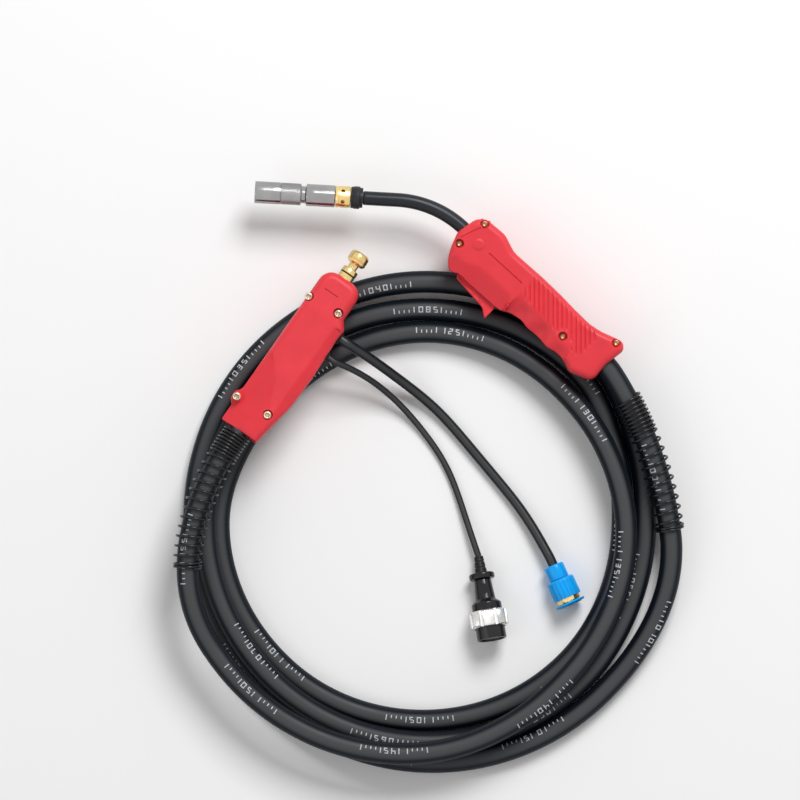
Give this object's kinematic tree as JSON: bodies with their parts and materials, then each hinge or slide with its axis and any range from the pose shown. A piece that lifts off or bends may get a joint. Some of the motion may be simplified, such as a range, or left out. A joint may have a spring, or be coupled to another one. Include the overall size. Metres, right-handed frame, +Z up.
{
  "type": "mig welding torch",
  "caption": "Air-cooled MIG welding torch: swan neck and nozzle on a red trigger handle, a coiled power cable, a red connector housing with machine plug, a gas hose and a control lead.",
  "frame": {"origin": "on the floor, under the middle of the torch, its cable coil and its connector housing; the loose gas hose and control lead aren't counted", "axes": "+Z up from the floor, +Y across the coil towards the swan neck and the nozzle, +X to the side where the handle's cable leaves"},
  "size_m": [0.5098, 0.5896, 0.0773],
  "materials": {
    "chrome": "bright chrome plating, knurled band",
    "brass": "machined brass",
    "copper": "copper, drawn",
    "nickel": "warm satin nickel plating",
    "steel": "plain steel wire and pins",
    "black_steel": "black oiled spring steel",
    "red_shell": "satin red glass-filled nylon",
    "black_plastic": "satin black plastic",
    "black_rubber": "smooth black rubber",
    "cable_rubber": "black rubber sheath with a soft sheen",
    "blue_plastic": "bright blue moulded plastic",
    "insulator": "wound glass fibre"
  },
  "bodies": {
    "root": {"contact_tip": "copper", "tip_holder": "brass", "nozzle_insulator": "insulator", "neck_collar": "brass", "insulating_ring": "black_plastic", "neck_sleeve": "black_plastic", "neck_tube": "copper", "wire_liner": "steel", "handle_shell_upper": "red_shell", "handle_shell_lower": "red_shell", "handle_screw_1": "brass", "handle_screw_2": "brass", "handle_screw_3": "brass", "handle_screw_4": "brass", "trigger_pin": "steel", "switch_body": "black_plastic", "switch_lead_1": "black_rubber", "switch_lead_2": "black_rubber", "neck_block": "brass", "cable_lug": "copper", "cable_core": "black_rubber", "cable_clamp": "steel", "housing_upper": "red_shell", "housing_lower": "red_shell", "housing_screw_1": "nickel", "housing_screw_2": "nickel", "housing_screw_3": "nickel", "housing_screw_4": "nickel", "machine_plug": "brass", "plug_seal": "black_rubber", "conduit_block": "brass", "cable_ferrule": "copper", "housing_conductor": "copper", "hose_gland": "black_rubber", "lead_gland": "black_rubber", "main_cable": "cable_rubber", "housing_spring": "black_steel", "gas_hose": "black_rubber", "hose_nipple": "brass", "hose_sleeve": "blue_plastic", "control_lead": "black_rubber", "lead_boot": "black_rubber", "plug_flange": "black_plastic", "plug_shell": "black_plastic", "plug_insert": "black_plastic"},
    "nozzle": {"gas_nozzle": "chrome"},
    "trigger": {"trigger": "red_shell", "trigger_spring": "steel"},
    "plunger": {"switch_plunger": "blue_plastic"},
    "loose_spring": {"handle_spring": "black_steel"},
    "gas_nut": {"gas_nut": "brass", "nut_cover": "blue_plastic"},
    "gas_cap": {"gas_cap": "blue_plastic"},
    "lock_nut": {"lock_nut": "nickel"}
  },
  "joints": [
    {"name": "trigger_squeeze", "type": "hinge", "parent": "root", "child": "trigger", "pos_m": [0.03322, 0.20184, 0.04191], "axis": [0, 0, 1], "range_deg": [0, 5], "stiffness_Nm_per_rad": 0.8, "springref_deg": -4.58},
    {"name": "plunger_press", "type": "slide", "parent": "root", "child": "plunger", "axis": [0.6845, 0.729, 0], "range_m": [0, 0.0024]},
    {"name": "nozzle_pull", "type": "slide", "parent": "root", "child": "nozzle", "axis": [-0.9984, 0.0558, 0], "range_m": [0, 0.08]},
    {"name": "spring_slide", "type": "hinge", "parent": "root", "child": "loose_spring", "pos_m": [-0.14411, -0.10198, -0.01963], "axis": [-0.1029, -0.1284, 0.9864], "range_deg": [0, 4]},
    {"name": "gas_nut_turn", "type": "hinge", "parent": "root", "child": "gas_nut", "pos_m": [0.1239, -0.08815, 0.01344], "axis": [0.4093, -0.9108, 0.0536], "continuous": true},
    {"name": "gas_cap_pull", "type": "slide", "parent": "gas_nut", "child": "gas_cap", "axis": [0.4093, -0.9108, 0.0536], "range_m": [0, 0.0105]},
    {"name": "lock_nut_turn", "type": "hinge", "parent": "root", "child": "lock_nut", "pos_m": [0.0494, -0.07955, 0.00953], "axis": [0.1576, -0.9732, 0.1674], "continuous": true}
  ],
  "couplings": [
    {"joint": "plunger_press", "follows": "trigger_squeeze", "m_per_rad": 0.023}
  ]
}
